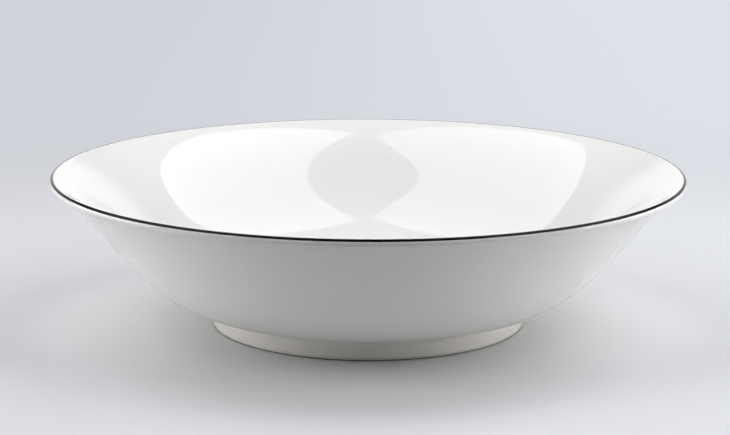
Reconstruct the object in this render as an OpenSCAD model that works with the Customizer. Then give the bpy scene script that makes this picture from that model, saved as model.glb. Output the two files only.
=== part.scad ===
// Wide flared porcelain serving bowl on a foot ring, with a fine enamel line round its lip.
//
// The bowl is modelled in the layers it is made of: the fired body, the foot ring luted under
// it with slip, three coats of glaze, and the line banded on the lip. Each layer is one solid
// of revolution about Z. The origin is on the table, under the middle of the foot.
//
// The outlines follow two curves drawn on the finished outside of the bowl. The floor curve
// runs from the middle of the underside to the foot, and the wall curve from the foot to the
// lip. A deeper layer is the same curve, moved in along its normal.

/* [Bowl] */
// Diameter over the glazed lip
rim_d = 280; // [230:1:340]
// Height of the glazed lip above the table
bowl_h = 68; // [56:1:84]
// Diameter over the glazed foot, which is also where the wall leaves it
foot_d = 140; // [116:1:170]

/* [Body] */
// Thickness of the fired body at the lip
lip_t = 2.8; // [2:0.1:4]
// Thickness of the fired body across the floor, from which it thins towards the lip
floor_t = 4.2; // [3:0.1:6]
// Height of the glazed underside above the table, at its middle
recess_h = 5.4; // [4.4:0.1:6.5]

/* [Wall curve] */
// Slope of the wall where it leaves the foot, in degrees
base_angle = 9.4; // [7:0.1:14]
// Slope of the wall where it flares into the lip, in degrees
flare_angle = 34.5; // [28:0.1:45]
// How far the wall follows its first slope, as a share of its reach from foot to lip
base_pull = 0.51; // [0.35:0.01:0.6]
// How far the wall follows its last slope, as a share of its reach from foot to lip
flare_pull = 0.34; // [0.15:0.01:0.4]

/* [Foot] */
// Height at which the wall would meet the outside of the foot, without the fillet
foot_h = 8.2; // [7.2:0.1:11]
// Width of the foot at its root, over the glaze
foot_root_w = 6; // [5:0.1:9]
// Width of the foot at its tip, over the glaze
foot_tip_w = 4.4; // [3.6:0.1:5]
// Radius of the two edges that the foot stands between
foot_edge_r = 0.9; // [0.4:0.1:1]
// Reach of the slip fillets along the foot and the wall
foot_fillet = 2.2; // [1:0.1:2.8]

/* [Glaze] */
// Thickness of every coat of glaze
glaze_t = 0.25; // [0.15:0.05:0.5]
// Height of the bare strip at the foot's tip, where the glaze is wiped off
bare_h = 1.3; // [1:0.1:2]

/* [Line] */
// Angle between the top of the lip and the upper edge of the line, in degrees round the lip
line_drop = 12; // [8:1:20]
// Width of the line, measured down over the outside of the lip
line_w = 1.4; // [0.8:0.1:2.2]
// Thickness of the enamel in the line
line_t = 0.15; // [0.1:0.01:0.3]

/* [Hidden] */
$fn = 180;

BISCUIT = [0.93, 0.92, 0.89];
GLAZE = [0.97, 0.97, 0.96];
ENAMEL = [0.05, 0.05, 0.06];

// Straight steps in which each stretch of an outline is drawn
FLOOR_STEPS = 12;
WALL_STEPS = 32;
FILLET_STEPS = 6;
LIP_STEPS = 10;
EDGE_STEPS = 5;

foot_r = foot_d / 2;
root_r = foot_r - foot_root_w;
tip_r = foot_r - foot_tip_w;
lip_r = lip_t / 2 + glaze_t;
lip_c = [rim_d / 2 - lip_r, bowl_h - lip_r];

// The floor's height rises from the middle with this power of the radius, so that its slope at
// the foot is the wall's first slope.
floor_power = tan(base_angle) * foot_r / (foot_h - recess_h);

// The wall is a cubic Bezier curve, given by its control points [radius, height].
lip_end = lip_c - lip_r * across(flare_angle);
reach = lip_end[0] - foot_r;
wall_curve = [
    [foot_r, foot_h],
    [foot_r, foot_h] + base_pull * reach * [1, tan(base_angle)],
    lip_end - flare_pull * reach * [1, tan(flare_angle)],
    lip_end,
];

// Where the foot's outer fillet runs out, as a position from 0 to 1 on the wall curve, and its
// inner one, as a radius.
fillet_s = foot_fillet / (3 * norm(wall_curve[1] - wall_curve[0]));
fillet_r = root_r - foot_fillet;

// Angles on the lip, up from straight out, at which the line starts above and ends below. The
// outside glaze has a corner at each, so that the line lies on it face to face.
line_top = 90 - line_drop;
line_end = line_top - line_w / lip_r * 180 / PI;

function along(angle) = [cos(angle), sin(angle)];
function across(angle) = [-sin(angle), cos(angle)];
function unit(v) = v / norm(v);
function reversed(list) = [for (i = [len(list) - 1:-1:0]) list[i]];
function steps(from, to, count) = [for (i = [0:count]) from + (to - from) * i / count];
function arc(centre, radius, angles) = [for (a = angles) centre + radius * along(a)];

// Point of the floor curve at radius r, moved in by a depth.
function on_floor(r, depth) =
    let (
        height = recess_h + (foot_h - recess_h) * (r / foot_r) ^ floor_power,
        slope = tan(base_angle) * (r / foot_r) ^ (floor_power - 1)
    )
    [r, height] + depth * unit([-slope, 1]);

// Point of the wall curve at s, moved in by a depth.
function on_wall(s, depth) =
    let (
        c = wall_curve,
        point = (1 - s) ^ 3 * c[0] + 3 * (1 - s) ^ 2 * s * c[1]
            + 3 * (1 - s) * s ^ 2 * c[2] + s ^ 3 * c[3],
        heading = (1 - s) ^ 2 * (c[1] - c[0]) + 2 * (1 - s) * s * (c[2] - c[1])
            + s ^ 2 * (c[3] - c[2])
    )
    point + depth * unit([-heading[1], heading[0]]);

// Smooth bend between two points, drawn towards a corner that it doesn't reach.
function bend(from, corner, to) = [
    for (s = steps(0, 1, FILLET_STEPS)) (1 - s) ^ 2 * from + 2 * (1 - s) * s * corner + s ^ 2 * to,
];

// Stretches of the outlines, each at a depth under the finish or with a coat of glaze on it.
wall_stops = steps(fillet_s, 1, WALL_STEPS);
function underside(depth) = [for (r = steps(0, fillet_r, FLOOR_STEPS)) on_floor(r, depth)];
function wall_outside(depth) = [for (s = wall_stops) on_wall(s, depth)];
function body_t(s) = floor_t + (lip_t - floor_t) * s;
function inside(glaze) = [
    for (r = steps(0, foot_r, FLOOR_STEPS)) on_floor(r, glaze_t + floor_t + glaze),
    for (s = wall_stops) on_wall(s, glaze_t + body_t(s) + glaze),
];
function lip_outside(radius) = arc(lip_c, radius, concat(
    steps(flare_angle - 90, line_end, LIP_STEPS),
    steps(line_end, line_top, LIP_STEPS),
    [90]
));
function lip_inside(radius) = arc(lip_c, radius, steps(90, flare_angle + 90, LIP_STEPS));

// Each flank of the foot, from where the glaze is wiped off up to the bowl.
function foot_outside(depth) =
    let (r = foot_r - depth, corner = [r, foot_h + depth])
    concat(
        [[r, bare_h + glaze_t - depth]],
        bend(corner - [0, foot_fillet], corner, on_wall(fillet_s, depth))
    );
function foot_inside(depth) =
    let (
        tip = [tip_r + depth, bare_h + glaze_t - depth],
        corner = on_floor(root_r, depth) + [depth, 0]
    )
    concat(
        [tip],
        bend(corner + foot_fillet * unit(tip - corner), corner, on_floor(fillet_r, depth))
    );

// A ring or disc turned about Z from stretches that follow on from each other. A point where
// two of them meet is kept once.
module turned(stretches) {
    points = [for (stretch = stretches) for (point = stretch) point];
    last = len(points) - 1;
    rotate_extrude() polygon([
        for (i = [0:last]) if (norm(points[i] - points[i == 0 ? last : i - 1]) > 0.001) points[i],
    ]);
}

// Wall and floor in one, as they come off the former.
module porcelain_body() {
    color(BISCUIT) turned([
        underside(glaze_t),
        [on_floor(foot_r, glaze_t)],
        wall_outside(glaze_t),
        lip_outside(lip_r - glaze_t),
        lip_inside(lip_r - glaze_t),
        reversed(inside(0)),
    ]);
}

// Foot ring with its slip fillets. Its tip is bare, and stands on the table.
module foot_ring() {
    edge = foot_edge_r;
    outer_c = [foot_r - glaze_t - edge, edge];
    inner_c = [tip_r + glaze_t + edge, edge];
    color(BISCUIT) turned([
        arc(outer_c, edge, steps(-90, 0, EDGE_STEPS)),
        foot_outside(glaze_t),
        [on_floor(foot_r, glaze_t)],
        reversed(foot_inside(glaze_t)),
        arc(inner_c, edge, steps(180, 270, EDGE_STEPS)),
    ]);
}

// Coat over the inside, from the middle of the floor to the top of the lip.
module inside_glaze() {
    color(GLAZE) turned([
        inside(0),
        reversed(lip_inside(lip_r - glaze_t)),
        lip_inside(lip_r),
        reversed(inside(glaze_t)),
    ]);
}

// Coat over the outside, from the bare tip of the foot to the top of the lip.
module outside_glaze() {
    color(GLAZE) turned([
        foot_outside(0),
        wall_outside(0),
        lip_outside(lip_r),
        reversed(lip_outside(lip_r - glaze_t)),
        reversed(wall_outside(glaze_t)),
        reversed(foot_outside(glaze_t)),
    ]);
}

// Coat over the underside, inside the foot.
module underside_glaze() {
    color(GLAZE) turned([
        underside(0),
        reversed(foot_inside(0)),
        foot_inside(glaze_t),
        reversed(underside(glaze_t)),
    ]);
}

// Enamel line, banded on the glaze just below the top of the lip, over its outside.
module rim_line() {
    angles = steps(line_end, line_top, LIP_STEPS);
    color(ENAMEL) turned([
        arc(lip_c, lip_r + line_t, angles),
        reversed(arc(lip_c, lip_r, angles)),
    ]);
}

porcelain_body();
foot_ring();
inside_glaze();
outside_glaze();
underside_glaze();
rim_line();
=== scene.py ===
"""Looks of a white porcelain serving bowl with a fine black line round its lip.

The bowl is one fired piece, so its parts are the layers that it is made of: the body and the foot
ring luted under it, three coats of glaze, and the enamel line banded on the lip. Every layer is a
closed ring or disc turned about the bowl's axis from the same two curves as the frame, with finer
steps, so that the gloss runs smoothly over it. Lengths of the bowl are millimetres. The studio
and the scene itself are in metres.
"""

import logging
import math
from collections.abc import Iterable, Sequence
from dataclasses import dataclass, replace
from enum import Enum

import bpy
from mathutils import Euler, Matrix, Vector

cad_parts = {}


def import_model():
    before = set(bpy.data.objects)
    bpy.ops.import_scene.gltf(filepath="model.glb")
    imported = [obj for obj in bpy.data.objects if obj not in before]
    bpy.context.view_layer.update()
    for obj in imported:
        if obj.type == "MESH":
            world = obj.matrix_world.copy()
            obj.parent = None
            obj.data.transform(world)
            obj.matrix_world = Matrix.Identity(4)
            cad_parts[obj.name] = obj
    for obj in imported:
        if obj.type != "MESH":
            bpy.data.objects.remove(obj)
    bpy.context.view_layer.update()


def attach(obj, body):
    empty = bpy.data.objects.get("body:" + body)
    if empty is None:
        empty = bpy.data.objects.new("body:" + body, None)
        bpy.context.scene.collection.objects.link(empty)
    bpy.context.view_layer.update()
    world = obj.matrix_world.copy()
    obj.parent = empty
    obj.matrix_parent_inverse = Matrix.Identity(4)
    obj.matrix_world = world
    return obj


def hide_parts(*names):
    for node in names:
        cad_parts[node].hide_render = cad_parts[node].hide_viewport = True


log = logging.getLogger("serving_bowl")

Tree = bpy.types.NodeTree
Socket = bpy.types.NodeSocket

MM = 0.001

# Steps in which every piece is turned round the bowl's axis
TURN_STEPS = 480
# Bend between two faces, in degrees, from which the corner between them looks crisp
CRISP_ANGLE = 35
# Distance in millimetres under which two points of a section are one
SAME_POINT = 0.001
# Distance in millimetres from the axis under which a point of a section lies on it
ON_AXIS = 1e-6

# Places of the two colours among a Mix node's inputs, and of its colour among its outputs
MIX_FIRST = 6
MIX_SECOND = 7
MIXED = 2


class Slot(Enum):
    """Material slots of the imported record."""

    BISCUIT = "biscuit"
    GLAZE = "glaze"
    ENAMEL = "enamel"


def linear(colour: str) -> tuple[float, float, float, float]:
    """Turns a colour as it is seen on a screen into the light that it stands for.

    Args:
        colour: sRGB hex value such as "#F4F3EF".

    Returns:
        Red, green, blue and alpha in linear light.
    """
    channels = []
    for start in (1, 3, 5):
        value = int(colour[start : start + 2], 16) / 255
        channels.append(value / 12.92 if value <= 0.04045 else ((value + 0.055) / 1.055) ** 2.4)
    return (*channels, 1.0)


def add(
    tree: Tree,
    kind: str,
    inputs: dict[str | int, object] | None = None,
    **settings: object,
) -> bpy.types.Node:
    """Adds a node with its settings, its constants and its links.

    Args:
        tree: Node tree that the node goes into.
        kind: Type name of the node, without "ShaderNode".
        inputs: Value or output socket for each input, by name or place.
        settings: Properties of the node itself.

    Returns:
        The new node.
    """
    node = tree.nodes.new("ShaderNode" + kind)
    for name, value in settings.items():
        setattr(node, name, value)
    for key, value in (inputs or {}).items():
        if isinstance(value, Socket):
            tree.links.new(value, node.inputs[key])
        else:
            node.inputs[key].default_value = value
    return node


def new_material(name: str) -> bpy.types.Material:
    """Makes an empty node material.

    Args:
        name: Name of the finish.

    Returns:
        The material, with no nodes in its tree.
    """
    material = bpy.data.materials.new(name)
    material.use_nodes = True
    material.node_tree.nodes.clear()
    return material


def ramp(
    tree: Tree,
    value: Socket,
    span: tuple[float, float],
    low: float = 0.0,
    high: float = 1.0,
    soft: bool = False,
) -> Socket:
    """Adds a rise from one value to another, which holds level outside its span.

    Args:
        tree: Node tree that it goes into.
        value: What the rise depends on.
        span: Where it starts and where it is done. The second may be the smaller one.
        low: What it gives before it starts.
        high: What it gives once it is done.
        soft: Whether it eases in and out.

    Returns:
        The socket that gives it.
    """
    inputs = {
        "Value": value,
        "From Min": span[0],
        "From Max": span[1],
        "To Min": low,
        "To Max": high,
    }
    kind = "SMOOTHSTEP" if soft else "LINEAR"
    return add(tree, "MapRange", inputs, interpolation_type=kind).outputs[0]


def noise(tree: Tree, spot: Socket, size_mm: float, detail: float) -> Socket:
    """Adds a cloudy noise of a real size.

    Args:
        tree: Node tree that it goes into.
        spot: Place on the piece.
        size_mm: Size of its largest patches.
        detail: How many finer noises lie over it.

    Returns:
        The socket that gives it.
    """
    inputs = {"Vector": spot, "Scale": 1 / (size_mm * MM), "Detail": detail}
    return add(tree, "TexNoise", inputs).outputs["Fac"]


def product(tree: Tree, first: Socket, second: Socket) -> Socket:
    """Adds the product of two values."""
    return add(tree, "Math", {0: first, 1: second}, operation="MULTIPLY").outputs[0]


def larger(tree: Tree, first: Socket, second: Socket) -> Socket:
    """Adds the larger of two values."""
    return add(tree, "Math", {0: first, 1: second}, operation="MAXIMUM").outputs[0]


def blend(tree: Tree, share: Socket, first: str | Socket, second: str) -> Socket:
    """Adds a mix of two colours.

    Args:
        tree: Node tree that it goes into.
        share: How much of the second colour there is.
        first: Hex value of the first colour, or a socket that gives it.
        second: Hex value of the second colour.

    Returns:
        The socket that gives the mixed colour.
    """
    start = linear(first) if isinstance(first, str) else first
    inputs = {"Factor": share, MIX_FIRST: start, MIX_SECOND: linear(second)}
    return add(tree, "Mix", inputs, data_type="RGBA").outputs[MIXED]


def surface(
    tree: Tree, relief: Socket, depth_mm: float, strength: float, inputs: dict[str, object]
) -> None:
    """Ends a material in a solid surface with a fine relief.

    Args:
        tree: Node tree of the material.
        relief: Height of the relief, as a share of its depth.
        depth_mm: Depth of the relief.
        strength: How much of the relief the light shows.
        inputs: Colour, roughness and the surface's other inputs.
    """
    bump = add(
        tree, "Bump", {"Height": relief, "Strength": strength, "Distance": depth_mm * MM}
    )
    shader = add(tree, "BsdfPrincipled", {**inputs, "Normal": bump.outputs[0]})
    add(tree, "OutputMaterial", {"Surface": shader.outputs[0]})


@dataclass(frozen=True)
class Porcelain:
    """Clear glossy glaze fired on white porcelain.

    The body shows white through the glaze and the glaze is smooth as glass, so the eye gets a
    milky white under sharp reflections. The glaze runs a little before it sets: it is thicker
    and warmer in the bends of the foot, and its surface waves by some thousandths of a
    millimetre, which softens the edges of the reflections.
    """

    name: str = "glazed_porcelain"
    white: str = "#F5F3EF"
    pooled: str = "#EFECE6"
    ior: float = 1.5
    roughness: float = 0.035
    cloud_mm: float = 38.0
    cloud_share: float = 0.25
    wave_mm: float = 9.0
    wave_depth_mm: float = 0.004
    pool_top_mm: float = 11.0
    pool_full_mm: float = 5.0

    def material(self) -> bpy.types.Material:
        """Builds the glaze's material.

        Returns:
            White with faint clouds, warmer low down, under a waved glossy surface.
        """
        material = new_material(self.name)
        tree = material.node_tree
        spot = add(tree, "TexCoord").outputs["Object"]
        height = add(tree, "SeparateXYZ", {0: spot}).outputs["Z"]
        clouds = noise(tree, spot, self.cloud_mm, detail=3.0)
        shade = ramp(tree, clouds, (0.3, 0.7), high=self.cloud_share)
        pool = ramp(tree, height, (self.pool_top_mm * MM, self.pool_full_mm * MM), soft=True)
        surface(
            tree,
            noise(tree, spot, self.wave_mm, detail=1.0),
            self.wave_depth_mm,
            strength=1.0,
            inputs={
                "Base Color": blend(tree, larger(tree, shade, pool), self.white, self.pooled),
                "Roughness": self.roughness,
                "IOR": self.ior,
            },
        )
        return material


@dataclass(frozen=True)
class Biscuit:
    """Fired porcelain without glaze, wiped bare at the tip of the foot.

    It is matt, a little warmer than the glazed white and as fine as eggshell. Its two edges are
    darkened with painted contact shadow and grime, which draws a thin dark line under the bowl,
    and the flat between them is rubbed clean.
    """

    name: str = "bare_porcelain"
    white: str = "#DFDCD6"
    # Painted contact shadow and grime, darkest just above the foot's flat
    grime_and_shadow: str = "#3E3B38"
    ior: float = 1.5
    roughness: float = 0.72
    # The real grain is near 0.05 mm. It is drawn ten times coarser, so that it shows at all.
    grain_mm: float = 0.5
    grain_depth_mm: float = 0.05
    stain_mm: float = 7.0
    # Heights where the painted contact shadow and grime begins, is full, and fades out towards
    # the flat
    grime_shadow_top_mm: float = 0.7
    grime_shadow_full_mm: float = 0.3
    rubbed_mm: float = 0.02
    unrubbed_mm: float = 0.12

    def material(self) -> bpy.types.Material:
        """Builds the bare body's material.

        Returns:
            Matt warm white, with uneven grime just above the flat that it stands on.
        """
        material = new_material(self.name)
        tree = material.node_tree
        spot = add(tree, "TexCoord").outputs["Object"]
        height = add(tree, "SeparateXYZ", {0: spot}).outputs["Z"]
        stain = ramp(tree, noise(tree, spot, self.stain_mm, detail=4.0), (0.1, 0.5), low=0.4)
        # Painted contact shadow and grime, in a band just above the flat of the foot
        grime_and_shadow_mask = product(
            tree,
            ramp(tree, height, (self.grime_shadow_top_mm * MM, self.grime_shadow_full_mm * MM)),
            ramp(tree, height, (self.rubbed_mm * MM, self.unrubbed_mm * MM)),
        )
        surface(
            tree,
            noise(tree, spot, self.grain_mm, detail=4.0),
            self.grain_depth_mm,
            strength=0.35,
            inputs={
                "Base Color": blend(tree, product(tree, stain, grime_and_shadow_mask), self.white, self.grime_and_shadow),
                "Roughness": self.roughness,
                "IOR": self.ior,
            },
        )
        return material


@dataclass(frozen=True)
class Enamel:
    """Black on-glaze enamel, banded with a brush on a turning wheel and fired.

    It is less glossy than the glaze under it, so the eye gets a deep black thread with only a
    dull sheen where a light meets it. The brush leaves it a little uneven round the lip.
    """

    name: str = "black_enamel"
    black: str = "#050506"
    thin: str = "#101012"
    ior: float = 1.45
    roughness: float = 0.2
    gloss: float = 0.12
    stroke_mm: float = 6.0
    stroke_depth_mm: float = 0.02

    def material(self) -> bpy.types.Material:
        """Builds the enamel's material.

        Returns:
            Black, a little paler where the brush ran dry, with a low relief of its strokes.
        """
        material = new_material(self.name)
        tree = material.node_tree
        spot = add(tree, "TexCoord").outputs["Object"]
        strokes = noise(tree, spot, self.stroke_mm, detail=3.0)
        surface(
            tree,
            strokes,
            self.stroke_depth_mm,
            strength=0.4,
            inputs={
                "Base Color": blend(tree, ramp(tree, strokes, (0.5, 0.8)), self.black, self.thin),
                "Roughness": self.roughness,
                "IOR": self.ior,
                "Specular IOR Level": self.gloss,
            },
        )
        return material


def steps(first: float, last: float, count: int) -> list[float]:
    """Even steps from first to last, both kept."""
    return [first + (last - first) * i / count for i in range(count + 1)]


def bend(start: Vector, corner: Vector, end: Vector, count: int) -> list[Vector]:
    """Draws a smooth bend between two points.

    Args:
        start: Point that it leaves.
        corner: Point that it is drawn towards and doesn't reach.
        end: Point that it comes to.
        count: Number of straight steps in it.

    Returns:
        Its points, with both ends.
    """
    return [
        (1 - s) ** 2 * start + 2 * (1 - s) * s * corner + s * s * end
        for s in steps(0, 1, count)
    ]


@dataclass(frozen=True)
class Profile:
    """Section of the bowl, drawn on its finished outside, in millimetres.

    The floor curve runs from the middle of the underside to the foot, and the wall curve from
    the foot to the lip. A deeper layer is the same curve, moved in along its normal. A point of
    the section is a radius and a height.
    """

    rim_d: float = 280.0
    bowl_h: float = 68.0
    foot_d: float = 140.0
    lip_t: float = 2.8
    floor_t: float = 4.2
    recess_h: float = 5.4
    base_angle: float = 9.4
    flare_angle: float = 34.5
    base_pull: float = 0.51
    flare_pull: float = 0.34
    foot_h: float = 8.2
    foot_root_w: float = 6.0
    foot_tip_w: float = 4.4
    foot_edge_r: float = 0.9
    foot_fillet: float = 2.2
    glaze_t: float = 0.25
    bare_h: float = 1.3
    line_drop: float = 12.0
    line_w: float = 1.4
    line_t: float = 0.15
    floor_steps: int = 24
    wall_steps: int = 96
    bend_steps: int = 10
    lip_steps: int = 16
    edge_steps: int = 8
    line_steps: int = 20

    @property
    def foot_r(self) -> float:
        """Radius over the glazed foot."""
        return self.foot_d / 2

    @property
    def tip_r(self) -> float:
        """Radius inside the glazed tip of the foot."""
        return self.foot_r - self.foot_tip_w

    @property
    def lip_r(self) -> float:
        """Radius of the lip's rounding, over the glaze."""
        return self.lip_t / 2 + self.glaze_t

    @property
    def lip_centre(self) -> Vector:
        """Middle of the lip's rounding."""
        return Vector((self.rim_d / 2 - self.lip_r, self.bowl_h - self.lip_r))

    @property
    def line_top(self) -> float:
        """Angle on the lip, up from straight out, at which the enamel line starts above."""
        return 90 - self.line_drop

    @property
    def line_end(self) -> float:
        """Angle on the lip, up from straight out, at which the enamel line ends below."""
        return self.line_top - math.degrees(self.line_w / self.lip_r)

    @property
    def wall_curve(self) -> list[Vector]:
        """Control points of the wall's cubic Bezier curve.

        Returns:
            The foot, the two points that it leans towards, and where it meets the lip.
        """
        slope_in = math.tan(math.radians(self.base_angle))
        slope_out = math.tan(math.radians(self.flare_angle))
        start = Vector((self.foot_r, self.foot_h))
        end = self.lip_point(self.flare_angle - 90, self.lip_r)
        reach = end.x - self.foot_r
        return [
            start,
            start + self.base_pull * reach * Vector((1, slope_in)),
            end - self.flare_pull * reach * Vector((1, slope_out)),
            end,
        ]

    @property
    def fillet_s(self) -> float:
        """Place on the wall curve, from 0 to 1, where the foot's fillet runs out."""
        curve = self.wall_curve
        return self.foot_fillet / (3 * (curve[1] - curve[0]).length)

    @property
    def fillet_r(self) -> float:
        """Radius at which the foot's inner fillet runs out."""
        return self.foot_r - self.foot_root_w - self.foot_fillet

    def body_t(self, s: float) -> float:
        """Thickness of the fired wall at s on the wall curve."""
        return self.floor_t + (self.lip_t - self.floor_t) * s

    def lip_point(self, angle: float, radius: float) -> Vector:
        """Point round the lip at an angle in degrees and a radius."""
        turn = math.radians(angle)
        return self.lip_centre + radius * Vector((math.cos(turn), math.sin(turn)))

    def floor_point(self, r: float, depth: float) -> Vector:
        """Finds a point of the floor curve, which rises with a power of the radius.

        Args:
            r: Radius of the point on the finished underside.
            depth: How far it is moved in.

        Returns:
            The moved point.
        """
        slope = math.tan(math.radians(self.base_angle))
        power = slope * self.foot_r / (self.foot_h - self.recess_h)
        share = r / self.foot_r
        height = self.recess_h + (self.foot_h - self.recess_h) * share**power
        normal = Vector((-slope * share ** (power - 1), 1)).normalized()
        return Vector((r, height)) + depth * normal

    def wall_point(self, s: float, depth: float) -> Vector:
        """Finds a point of the wall curve.

        Args:
            s: Place on the curve, from 0 at the foot to 1 at the lip.
            depth: How far the point is moved in.

        Returns:
            The moved point.
        """
        a, b, c, d = self.wall_curve
        u = 1 - s
        point = u**3 * a + 3 * u * u * s * b + 3 * u * s * s * c + s**3 * d
        heading = u * u * (b - a) + 2 * u * s * (c - b) + s * s * (d - c)
        return point + depth * Vector((-heading.y, heading.x)).normalized()

    def underside(self, depth: float) -> list[Vector]:
        """Stretch under the floor, from the middle to the foot's fillet."""
        return [self.floor_point(r, depth) for r in steps(0, self.fillet_r, self.floor_steps)]

    def wall_outside(self, depth: float) -> list[Vector]:
        """Stretch up the outside of the wall, from the foot's fillet to the lip."""
        return [self.wall_point(s, depth) for s in steps(self.fillet_s, 1, self.wall_steps)]

    def inside(self, glaze: float) -> list[Vector]:
        """Draws the stretch over the inside, from the middle of the floor to the lip.

        Args:
            glaze: Thickness of glaze on the fired body, or 0 for the body itself.

        Returns:
            The stretch's points.
        """
        depth = self.glaze_t + glaze
        floor = [
            self.floor_point(r, depth + self.floor_t)
            for r in steps(0, self.foot_r, self.floor_steps)
        ]
        wall = [
            self.wall_point(s, depth + self.body_t(s)) for s in steps(0, 1, self.wall_steps)
        ]
        return floor + wall[1:]

    def lip_outside(self, radius: float) -> list[Vector]:
        """Stretch round the outer half of the lip."""
        angles = steps(self.flare_angle - 90, 90, 2 * self.lip_steps)
        return [self.lip_point(angle, radius) for angle in angles]

    def lip_inside(self, radius: float) -> list[Vector]:
        """Stretch round the inner half of the lip, from its top."""
        angles = steps(90, self.flare_angle + 90, self.lip_steps)
        return [self.lip_point(angle, radius) for angle in angles]

    def foot_outside(self, depth: float) -> list[Vector]:
        """Draws the stretch up the outside of the foot and through its fillet.

        Args:
            depth: How far it lies under the finished outside.

        Returns:
            The stretch's points, from where the glaze is wiped off.
        """
        r = self.foot_r - depth
        corner = Vector((r, self.foot_h + depth))
        start = Vector((r, self.bare_h + self.glaze_t - depth))
        low = corner - Vector((0, self.foot_fillet))
        high = self.wall_point(self.fillet_s, depth)
        return [start, *bend(low, corner, high, self.bend_steps)]

    def foot_inside(self, depth: float) -> list[Vector]:
        """Draws the stretch up the inside of the foot and through its fillet.

        Args:
            depth: How far it lies under the finished outside.

        Returns:
            The stretch's points, from where the glaze is wiped off.
        """
        root = self.foot_r - self.foot_root_w
        tip = Vector((self.tip_r + depth, self.bare_h + self.glaze_t - depth))
        corner = self.floor_point(root, depth) + Vector((depth, 0))
        low = corner + self.foot_fillet * (tip - corner).normalized()
        high = self.floor_point(self.fillet_r, depth)
        return [tip, *bend(low, corner, high, self.bend_steps)]

    def foot_edge(self, r: float, first: float, last: float) -> list[Vector]:
        """Draws one of the two rounded edges that the foot stands between.

        Args:
            r: Radius on the bowl at which the edge's rounding is centred.
            first: Angle in degrees where it starts.
            last: Angle where it ends.

        Returns:
            Its points.
        """
        centre = Vector((r, self.foot_edge_r))
        turns = [math.radians(angle) for angle in steps(first, last, self.edge_steps)]
        return [centre + self.foot_edge_r * Vector((math.cos(t), math.sin(t))) for t in turns]


def joined(stretches: Iterable[Sequence[Vector]]) -> list[Vector]:
    """Joins stretches into a closed section.

    Args:
        stretches: Parts of the section that follow on from each other.

    Returns:
        Its points. One where two stretches meet is kept once.
    """
    points: list[Vector] = []
    for point in (p for stretch in stretches for p in stretch):
        if not points or (point - points[-1]).length > SAME_POINT:
            points.append(point)
    if (points[0] - points[-1]).length < SAME_POINT:
        points.pop()
    return points


def turned(name: str, stretches: Iterable[Sequence[Vector]]) -> bpy.types.Object:
    """Turns a closed section about the bowl's axis.

    Args:
        name: Name of the new piece.
        stretches: Parts of the section that follow on from each other, in millimetres, with
            the material on their left.

    Returns:
        The piece, in metres, with smooth shading and crisp corners.
    """
    vertices: list[Vector] = []
    rings: list[list[int]] = []
    for point in joined(stretches):
        count = 1 if point.x < ON_AXIS else TURN_STEPS
        rings.append([len(vertices) + k % count for k in range(TURN_STEPS)])
        for k in range(count):
            turn = 2 * math.pi * k / TURN_STEPS
            vertices.append(
                Vector((point.x * math.cos(turn), point.x * math.sin(turn), point.y)) * MM
            )
    faces: list[tuple[int, ...]] = []
    for i, low in enumerate(rings):
        high = rings[(i + 1) % len(rings)]
        if low[0] == low[1] and high[0] == high[1]:
            continue
        for k in range(TURN_STEPS):
            n = (k + 1) % TURN_STEPS
            faces.append(tuple(dict.fromkeys((low[k], low[n], high[n], high[k]))))
    mesh = bpy.data.meshes.new(name)
    mesh.from_pydata(vertices, [], faces)
    mesh.validate()
    mesh.shade_smooth()
    mesh.set_sharp_from_angle(angle=math.radians(CRISP_ANGLE))
    piece = bpy.data.objects.new(name, mesh)
    bpy.context.scene.collection.objects.link(piece)
    return piece


def place(
    piece: bpy.types.Object, finish: bpy.types.Material, node: str
) -> bpy.types.Object:
    """Dresses a piece and fixes it in the frame in place of its plain solid.

    Args:
        piece: The finished mesh.
        finish: Its material.
        node: Node of the frame that it stands for.

    Returns:
        The same piece.
    """
    piece.data.materials.append(finish)
    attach(piece, "root")
    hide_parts(node)
    log.info("%s: %d faces, stands for %s", piece.name, len(piece.data.polygons), node)
    return piece


@dataclass(frozen=True)
class FiredBody:
    """Wall and floor from the former, with the foot ring luted under them."""

    profile: Profile

    def body(self) -> bpy.types.Object:
        """Builds the wall and floor.

        Returns:
            One closed piece, bare of glaze.
        """
        p = self.profile
        skin = p.lip_r - p.glaze_t
        return turned(
            "bowl_body",
            [
                p.underside(p.glaze_t),
                [p.floor_point(p.foot_r, p.glaze_t)],
                p.wall_outside(p.glaze_t),
                p.lip_outside(skin),
                p.lip_inside(skin),
                p.inside(0)[::-1],
            ],
        )

    def foot(self) -> bpy.types.Object:
        """Builds the foot ring.

        Returns:
            One closed ring with its fillets, which stands on the table on its bare tip.
        """
        p = self.profile
        inset = p.glaze_t + p.foot_edge_r
        return turned(
            "bowl_foot",
            [
                p.foot_edge(p.foot_r - inset, -90, 0),
                p.foot_outside(p.glaze_t),
                [p.floor_point(p.foot_r, p.glaze_t)],
                p.foot_inside(p.glaze_t)[::-1],
                p.foot_edge(p.tip_r + inset, 180, 270),
            ],
        )

    def build(self) -> None:
        """Builds and places the body and the foot."""
        biscuit = Biscuit().material()
        place(self.body(), biscuit, "porcelain_body")
        place(self.foot(), biscuit, "foot_ring")


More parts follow.
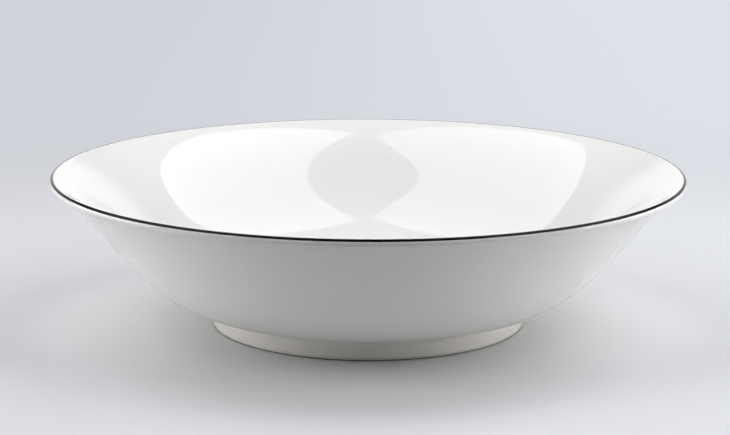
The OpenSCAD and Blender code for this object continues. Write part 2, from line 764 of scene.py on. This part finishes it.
@dataclass(frozen=True)
class GlazeCoats:
    """The three coats of glaze: inside, outside and underside."""

    profile: Profile

    def inside(self) -> bpy.types.Object:
        """Builds the inside coat.

        Returns:
            A closed skin from the middle of the floor to the top of the lip.
        """
        p = self.profile
        return turned(
            "glaze_inside",
            [
                p.inside(0),
                p.lip_inside(p.lip_r - p.glaze_t)[::-1],
                p.lip_inside(p.lip_r),
                p.inside(p.glaze_t)[::-1],
            ],
        )

    def outside(self) -> bpy.types.Object:
        """Builds the outside coat.

        Returns:
            A closed skin from the bare tip of the foot to the top of the lip.
        """
        p = self.profile
        return turned(
            "glaze_outside",
            [
                p.foot_outside(0),
                p.wall_outside(0),
                p.lip_outside(p.lip_r),
                p.lip_outside(p.lip_r - p.glaze_t)[::-1],
                p.wall_outside(p.glaze_t)[::-1],
                p.foot_outside(p.glaze_t)[::-1],
            ],
        )

    def underside(self) -> bpy.types.Object:
        """Builds the coat under the floor.

        Returns:
            A closed skin from its middle down to the bare tip of the foot.
        """
        p = self.profile
        return turned(
            "glaze_underside",
            [
                p.underside(0),
                p.foot_inside(0)[::-1],
                p.foot_inside(p.glaze_t),
                p.underside(p.glaze_t)[::-1],
            ],
        )

    def build(self) -> None:
        """Builds and places the coats."""
        glaze = Porcelain().material()
        place(self.inside(), glaze, "inside_glaze")
        place(self.outside(), glaze, "outside_glaze")
        place(self.underside(), glaze, "underside_glaze")


@dataclass(frozen=True)
class RimLine:
    """Enamel line over the outside of the lip, just below its top."""

    profile: Profile

    def build(self) -> None:
        """Builds and places the line, which thins to nothing at its two edges."""
        p = self.profile
        angles = steps(p.line_end, p.line_top, p.line_steps)
        shares = steps(-1, 1, p.line_steps)
        cover = [
            p.lip_point(angle, p.lip_r + p.line_t * math.sqrt(1 - share**4))
            for angle, share in zip(angles, shares)
        ]
        under = [p.lip_point(angle, p.lip_r) for angle in reversed(angles)]
        line = turned("rim_enamel", [cover, under])
        place(line, Enamel().material(), "rim_line")


@dataclass(frozen=True)
class Softbox:
    """Studio light or card round the bowl, drawn as its one glowing front.

    Its front lies in a plane that rises from a low line to a high one. Each corner is a share of
    the way up that plane and a distance along it, in metres.
    """

    name: str
    low: tuple[float, float, float]
    high: tuple[float, float, float]
    along: tuple[float, float, float]
    outline: tuple[tuple[float, float], ...]
    strength: float
    colour: str = "#FFFFFF"

    def corner(self, rise: float, distance: float) -> Vector:
        """Corner of the front, from its share of the rise and its distance along it."""
        low, high = Vector(self.low), Vector(self.high)
        return low + rise * (high - low) + distance * Vector(self.along)

    def mirrored(self, name: str) -> "Softbox":
        """The same light on the other side of the bowl."""
        low, high, along = ((-x, y, z) for x, y, z in (self.low, self.high, self.along))
        return replace(self, name=name, low=low, high=high, along=along)

    def build(self) -> None:
        """Builds the light's front as a glowing sheet that the camera doesn't see."""
        mesh = bpy.data.meshes.new(self.name)
        corners = [self.corner(rise, distance) for rise, distance in self.outline]
        mesh.from_pydata(corners, [], [tuple(range(len(corners)))])
        panel = bpy.data.objects.new(self.name, mesh)
        bpy.context.scene.collection.objects.link(panel)
        material = new_material(self.name + "_cloth")
        tree = material.node_tree
        glow = add(
            tree, "Emission", {"Color": linear(self.colour), "Strength": self.strength}
        )
        add(tree, "OutputMaterial", {"Surface": glow.outputs[0]})
        mesh.materials.append(material)
        panel.visible_camera = False
        log.info("%s: strength %.2f", self.name, self.strength)


# Cool white of the two large lights over the bowl
COOL_WHITE = "#F7F9FF"

SOFTBOX_RIGHT = Softbox(
    "softbox_right",
    low=(1.0, 0.0, 0.25),
    high=(0.085, 0.0, 1.3),
    along=(0.0, 1.0, 0.0),
    outline=(
        (1.03, 0.06),
        (0.70, 0.51),
        (0.42, 0.57),
        (0.3, 0.57),
        (0.3, -0.30),
        (0.76, -0.19),
        (0.9, -0.09),
    ),
    strength=2.85,
    colour=COOL_WHITE,
)
SOFTBOX_LEFT = Softbox(
    "softbox_left",
    low=(-1.0, 0.0, 0.3),
    high=(-0.1, 0.0, 1.3),
    along=(0.0, 1.0, 0.0),
    outline=(
        (1.08, 0.0),
        (0.95, -0.20),
        (0.80, -0.24),
        (0.3, -0.30),
        (0.3, 0.60),
        (0.40, 0.63),
        (0.50, 0.66),
        (0.65, 0.74),
    ),
    strength=2.2,
    colour=COOL_WHITE,
)
STRIP_RIGHT = Softbox(
    "strip_right",
    low=(1.1, 0.0, 0.02),
    high=(0.98, 0.0, 0.26),
    along=(0.0, 1.0, 0.0),
    outline=((0, -0.3), (1, -0.3), (1, 0.6), (0, 0.6)),
    strength=6.1,
)
FILL_RIGHT = Softbox(
    "fill_right",
    low=(1.01, -0.45, 0.64),
    high=(0.78, -0.35, 1.22),
    along=(0.41, 0.91, 0.0),
    outline=((0, -0.4), (1, -0.4), (1, 0.4), (0, 0.4)),
    strength=3.6,
)
CARD_FRONT = Softbox(
    "card_front",
    low=(0.0, -1.5, 0.02),
    high=(0.0, -1.5, 0.5),
    along=(1.0, 0.0, 0.0),
    outline=((0, -0.9), (1, -0.9), (1, 0.9), (0, 0.9)),
    strength=0.42,
)
LIGHTS = (
    SOFTBOX_RIGHT,
    SOFTBOX_LEFT,
    STRIP_RIGHT,
    STRIP_RIGHT.mirrored("strip_left"),
    FILL_RIGHT,
    FILL_RIGHT.mirrored("fill_left"),
    CARD_FRONT,
)


@dataclass(frozen=True)
class Table:
    """Pale sheet that the bowl stands on, which runs back into the backdrop without an edge.

    Near the bowl it is a real surface, which takes the bowl's shadow, and further out what is
    seen of it turns into a pale ground; both have painted light that makes them lighter to the
    right.
    The light that it throws back at the bowl also carries painted shade in front of the bowl and
    painted light at each side, which the camera doesn't see.
    """

    radius: float = 6.0
    corner_count: int = 96
    # Painted light: near the bowl and further out, the sheet is lighter to the right
    near_left: str = "#DBDBDD"
    near_right: str = "#E3E4E6"
    far_left: str = "#D0D3D9"
    far_right: str = "#DEE1E7"
    # Painted light at each side and painted shade in front, seen only by diffuse rays
    painted_bounce_light: str = "#F6F6F6"
    painted_front_shade: str = "#1E1E1F"
    roughness: float = 0.6
    ior: float = 1.3
    # Where each change across the sheet starts and where it is done, in metres
    right_x: tuple[float, float] = (-0.25, 0.25)
    painted_bounce_light_x: tuple[float, float] = (0.14, 0.2)
    painted_front_shade_y: tuple[float, float] = (-0.172, -0.21)
    far_r: tuple[float, float] = (0.22, 0.6)

    def returned(
        self, tree: Tree, split: bpy.types.Node, rays: bpy.types.Node, pale: Socket
    ) -> Socket:
        """Paints light at the sides and shade in front on the sheet, for the light that it throws
        back.

        Only diffuse rays meet them: those that leave a surface to find what light falls on it.

        Args:
            tree: Node tree of the sheet.
            split: Node that gives the place on the sheet.
            rays: Node that tells the kinds of ray apart.
            pale: Colour of the sheet as it is seen.

        Returns:
            The socket that gives its colour for every ray.
        """
        aside = add(tree, "Math", {0: split.outputs["X"]}, operation="ABSOLUTE").outputs[0]
        # Painted light at the sides, then painted shade in front, for diffuse rays only
        for value, span, colour in (
            (aside, self.painted_bounce_light_x, self.painted_bounce_light),
            (split.outputs["Y"], self.painted_front_shade_y, self.painted_front_shade),
        ):
            covered = ramp(tree, value, span, soft=True)
            share = product(tree, covered, rays.outputs["Is Diffuse Ray"])
            pale = blend(tree, share, pale, colour)
        return pale

    def far_share(self, tree: Tree, spot: Socket, rays: bpy.types.Node) -> Socket:
        """Works out how much of the pale ground a ray meets instead of the real surface.

        Args:
            tree: Node tree of the sheet.
            spot: Place on the sheet.
            rays: Node that tells the kinds of ray apart.

        Returns:
            The socket that gives the share, which is 0 for rays that don't show the sheet.
        """
        seen = rays.outputs["Is Camera Ray"]
        for kind in ("Is Glossy Ray", "Is Transmission Ray"):
            seen = larger(tree, seen, rays.outputs[kind])
        distance = add(tree, "VectorMath", {0: spot}, operation="LENGTH").outputs["Value"]
        return product(tree, ramp(tree, distance, self.far_r, soft=True), seen)

    def material(self) -> bpy.types.Material:
        """Builds the sheet's material.

        Returns:
            A matt surface near the bowl that turns into a pale ground, painted lighter to the
            right.
        """
        material = new_material("pale_table_sheet")
        tree = material.node_tree
        spot = add(tree, "TexCoord").outputs["Object"]
        split = add(tree, "SeparateXYZ", {0: spot})
        rays = add(tree, "LightPath")
        # Painted light, which makes the sheet lighter to the right
        across = ramp(tree, split.outputs["X"], self.right_x, soft=True)
        near = blend(tree, across, self.near_left, self.near_right)
        sheet = add(
            tree,
            "BsdfPrincipled",
            {
                "Base Color": self.returned(tree, split, rays, near),
                "Roughness": self.roughness,
                "IOR": self.ior,
            },
        )
        far = blend(tree, across, self.far_left, self.far_right)
        ground = add(tree, "Emission", {"Color": far})
        share = self.far_share(tree, spot, rays)
        both = add(tree, "MixShader", {0: share, 1: sheet.outputs[0], 2: ground.outputs[0]})
        add(tree, "OutputMaterial", {"Surface": both.outputs[0]})
        return material

    def build(self) -> None:
        """Builds the sheet as one large round face."""
        mesh = bpy.data.meshes.new("table")
        turns = [2 * math.pi * k / self.corner_count for k in range(self.corner_count)]
        edge = [self.radius * Vector((math.cos(turn), math.sin(turn), 0)) for turn in turns]
        mesh.from_pydata(edge, [], [tuple(range(self.corner_count))])
        mesh.materials.append(self.material())
        top = bpy.data.objects.new("table", mesh)
        bpy.context.scene.collection.objects.link(top)
        log.info("table: %.1f m across", 2 * self.radius)


@dataclass(frozen=True)
class Room:
    """Dim room, with a bright band low at the back that carries the table on.

    The band's edges are the Y and Z of a unit vector that points from the bowl to them.
    """

    dim: str = "#0C0C0D"
    bright: str = "#FFFFFF"
    back_y: tuple[float, float] = (0.5, 0.75)
    low_z: tuple[float, float] = (0.45, 0.3)

    def build(self) -> None:
        """Builds the room as the scene's world."""
        world = bpy.data.worlds.new("dim_studio")
        world.use_nodes = True
        tree = world.node_tree
        tree.nodes.clear()
        direction = add(tree, "TexCoord").outputs["Generated"]
        split = add(tree, "SeparateXYZ", {0: direction})
        back = ramp(tree, split.outputs["Y"], self.back_y, soft=True)
        low = ramp(tree, split.outputs["Z"], self.low_z, soft=True)
        colour = blend(tree, product(tree, back, low), self.dim, self.bright)
        light = add(tree, "Background", {"Color": colour, "Strength": 1.0})
        add(tree, "OutputWorld", {"Surface": light.outputs[0]})
        bpy.context.scene.world = world


@dataclass(frozen=True)
class Viewpoint:
    """Camera a little above the rim, in front of the bowl.

    Its distance and target are in metres, its elevation in degrees and its roll in radians.
    """

    distance: float = 0.9276
    elevation: float = 12.15
    roll: float = 0.0034
    target: tuple[float, float, float] = (-0.0014, 0.0, 0.0466)
    lens_mm: float = 102.44
    sensor_mm: float = 36.0

    def build(self) -> None:
        """Makes the camera and gives it to the scene."""
        data = bpy.data.cameras.new("camera")
        data.sensor_width = self.sensor_mm
        data.lens = self.lens_mm
        camera = bpy.data.objects.new("camera", data)
        bpy.context.scene.collection.objects.link(camera)
        rise = math.radians(self.elevation)
        away = Vector((0, -math.cos(rise), math.sin(rise)))
        camera.location = Vector(self.target) + self.distance * away
        tilt = Euler((math.pi / 2 - rise, 0, 0)).to_matrix()
        camera.rotation_euler = (tilt @ Matrix.Rotation(self.roll, 3, "Z")).to_euler()
        bpy.context.scene.camera = camera


@dataclass(frozen=True)
class Studio:
    """Table, room, lights and camera round the bowl."""

    table: Table = Table()
    room: Room = Room()
    lights: tuple[Softbox, ...] = LIGHTS
    view: Viewpoint = Viewpoint()

    def build(self) -> None:
        """Sets up the whole studio."""
        self.table.build()
        self.room.build()
        for light in self.lights:
            light.build()
        self.view.build()
        bpy.context.scene.view_settings.view_transform = "Standard"
        log.info("studio: table, room, %d lights and camera", len(self.lights))


def main() -> None:
    """Builds the bowl round the frame, and the studio round the bowl."""
    logging.basicConfig(level=logging.INFO, format="%(name)s: %(message)s")
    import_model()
    profile = Profile()
    FiredBody(profile).build()
    GlazeCoats(profile).build()
    RimLine(profile).build()
    Studio().build()


if __name__ == "__main__":
    main()
